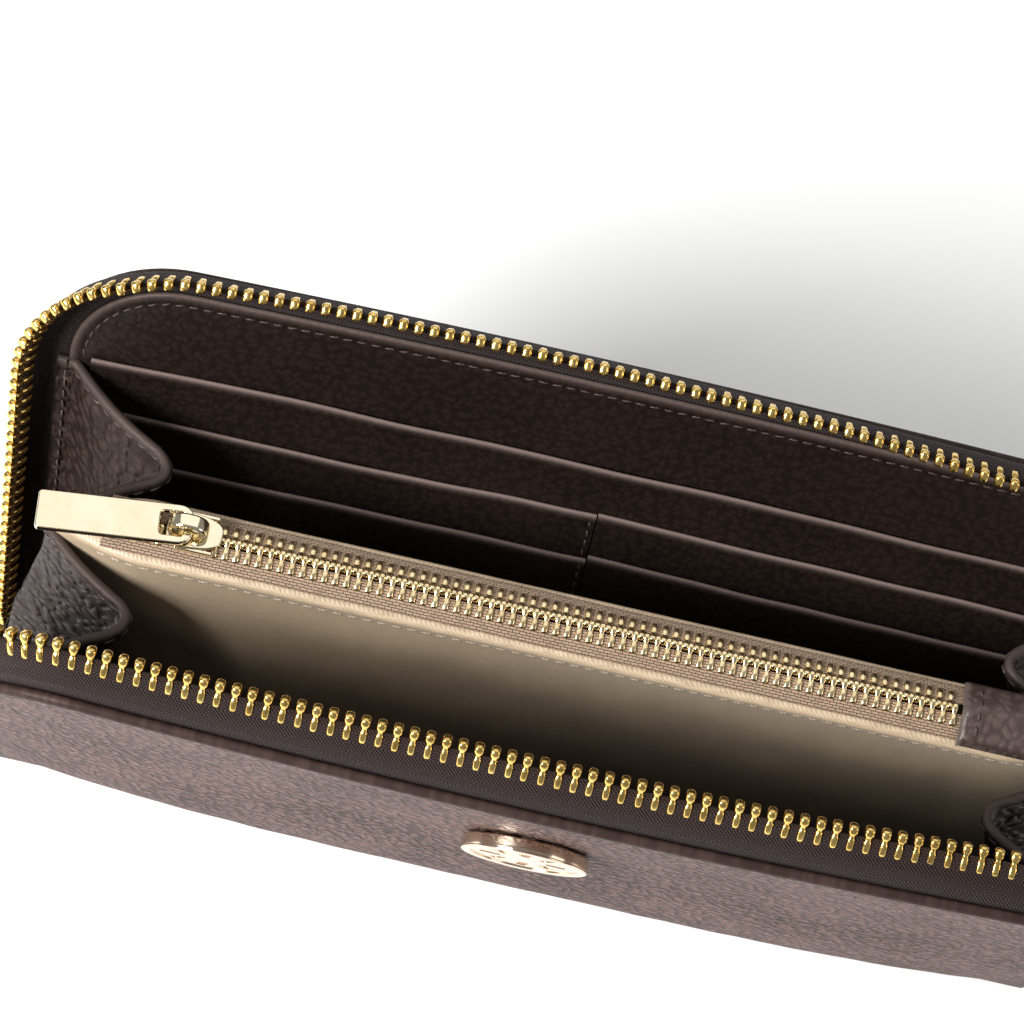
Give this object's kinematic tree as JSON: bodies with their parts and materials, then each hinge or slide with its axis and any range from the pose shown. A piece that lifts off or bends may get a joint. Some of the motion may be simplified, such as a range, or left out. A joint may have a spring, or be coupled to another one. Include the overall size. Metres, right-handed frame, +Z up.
{
  "type": "zip around wallet",
  "caption": "Long zip around wallet standing open on its spine, with card pockets, side gussets and a zipped coin pocket in the middle.",
  "frame": {"origin": "middle of the spine's flat underside, on the table", "axes": "+X along the spine towards the parked main slider, +Y towards the back cover, +Z up"},
  "size_m": [0.2315, 0.0758, 0.1089],
  "materials": {
    "gusset_leather": "pebbled",
    "exterior_leather": "pebbled, satin",
    "board": "matte fibreboard",
    "interior_leather": "smooth, fine grain",
    "main_tape": "herringbone weave",
    "main_teeth": "polished, yellow gold",
    "pocket_satin": "satin twill",
    "lining_fabric": "satin twill",
    "coin_tape": "coarse weave",
    "coin_teeth": "polished, pale gold",
    "tab_leather": "pebbled",
    "end_tab_leather": "pebbled",
    "slider_metal": "mirror polish, pale gold",
    "main_slider_metal": "mirror polish, pale gold",
    "coin_puller_metal": "mirror polish, pale gold",
    "main_puller_metal": "mirror polish, pale gold",
    "badge_metal": "mirror polish, pale rose gold"
  },
  "bodies": {
    "core": {"coin_pocket_back_wall": "pocket_satin", "coin_pocket_front_wall": "pocket_satin", "coin_zip_end_stop": "coin_teeth", "coin_zip_end_tab": "tab_leather", "coin_zip_tape_back": "coin_tape", "coin_zip_tape_front": "coin_tape", "coin_zip_teeth_back": "coin_teeth", "coin_zip_teeth_front": "coin_teeth", "gusset_left_back": "gusset_leather", "gusset_left_front": "gusset_leather", "gusset_right_back": "gusset_leather", "gusset_right_front": "gusset_leather", "main_slider_bail": "main_slider_metal", "main_slider_body": "main_slider_metal", "spine_leather": "exterior_leather", "spine_lining": "lining_fabric", "zip_end_tab_left": "end_tab_leather", "zip_end_tab_right": "end_tab_leather"},
    "back_half": {"back_cover_leather": "exterior_leather", "back_interior_panel": "interior_leather", "back_pocket_full_width": "interior_leather", "back_pocket_lower_left": "interior_leather", "back_pocket_lower_right": "interior_leather", "back_pocket_middle_left": "interior_leather", "back_pocket_middle_right": "interior_leather", "back_stiffener_board": "board", "back_zip_end_stops": "main_teeth", "back_zip_tape": "main_tape", "back_zip_teeth": "main_teeth"},
    "front_half": {"badge_plate": "badge_metal", "badge_posts": "badge_metal", "front_cover_leather": "exterior_leather", "front_interior_panel": "interior_leather", "front_pocket_full_width": "interior_leather", "front_pocket_lower_left": "interior_leather", "front_pocket_lower_right": "interior_leather", "front_pocket_middle_left": "interior_leather", "front_pocket_middle_right": "interior_leather", "front_stiffener_board": "board", "front_zip_end_stops": "main_teeth", "front_zip_tape": "main_tape", "front_zip_teeth": "main_teeth"},
    "coin_slider": {"coin_slider_bail": "slider_metal", "coin_slider_body": "slider_metal"},
    "coin_puller": {"coin_puller": "coin_puller_metal"},
    "main_puller": {"main_puller": "main_puller_metal"}
  },
  "joints": [
    {"name": "back_hinge", "type": "hinge", "parent": "core", "child": "back_half", "pos_m": [0, 0.0105, 0.003], "axis": [-1, 0, 0], "range_deg": [-16.3, 13], "deforming": ["gusset_left_back", "gusset_right_back"]},
    {"name": "front_hinge", "type": "hinge", "parent": "core", "child": "front_half", "pos_m": [0, -0.0105, 0.003], "axis": [1, 0, 0], "range_deg": [-16.3, 13], "deforming": ["gusset_left_front", "gusset_right_front"]},
    {"name": "coin_zip_slide", "type": "slide", "parent": "core", "child": "coin_slider", "axis": [1, 0, 0], "range_m": [0, 0.12], "deforming": ["coin_zip_teeth_back", "coin_zip_teeth_front"]},
    {"name": "coin_puller_hinge", "type": "hinge", "parent": "coin_slider", "child": "coin_puller", "pos_m": [-0.0636, 0, 0.08959], "axis": [-0.1219, 0.9925, 0], "range_deg": [0, 165]},
    {"name": "main_puller_hinge", "type": "hinge", "parent": "core", "child": "main_puller", "pos_m": [0.10243, 0, 0.0082], "axis": [0, -1, 0], "range_deg": [0, 100]}
  ]
}
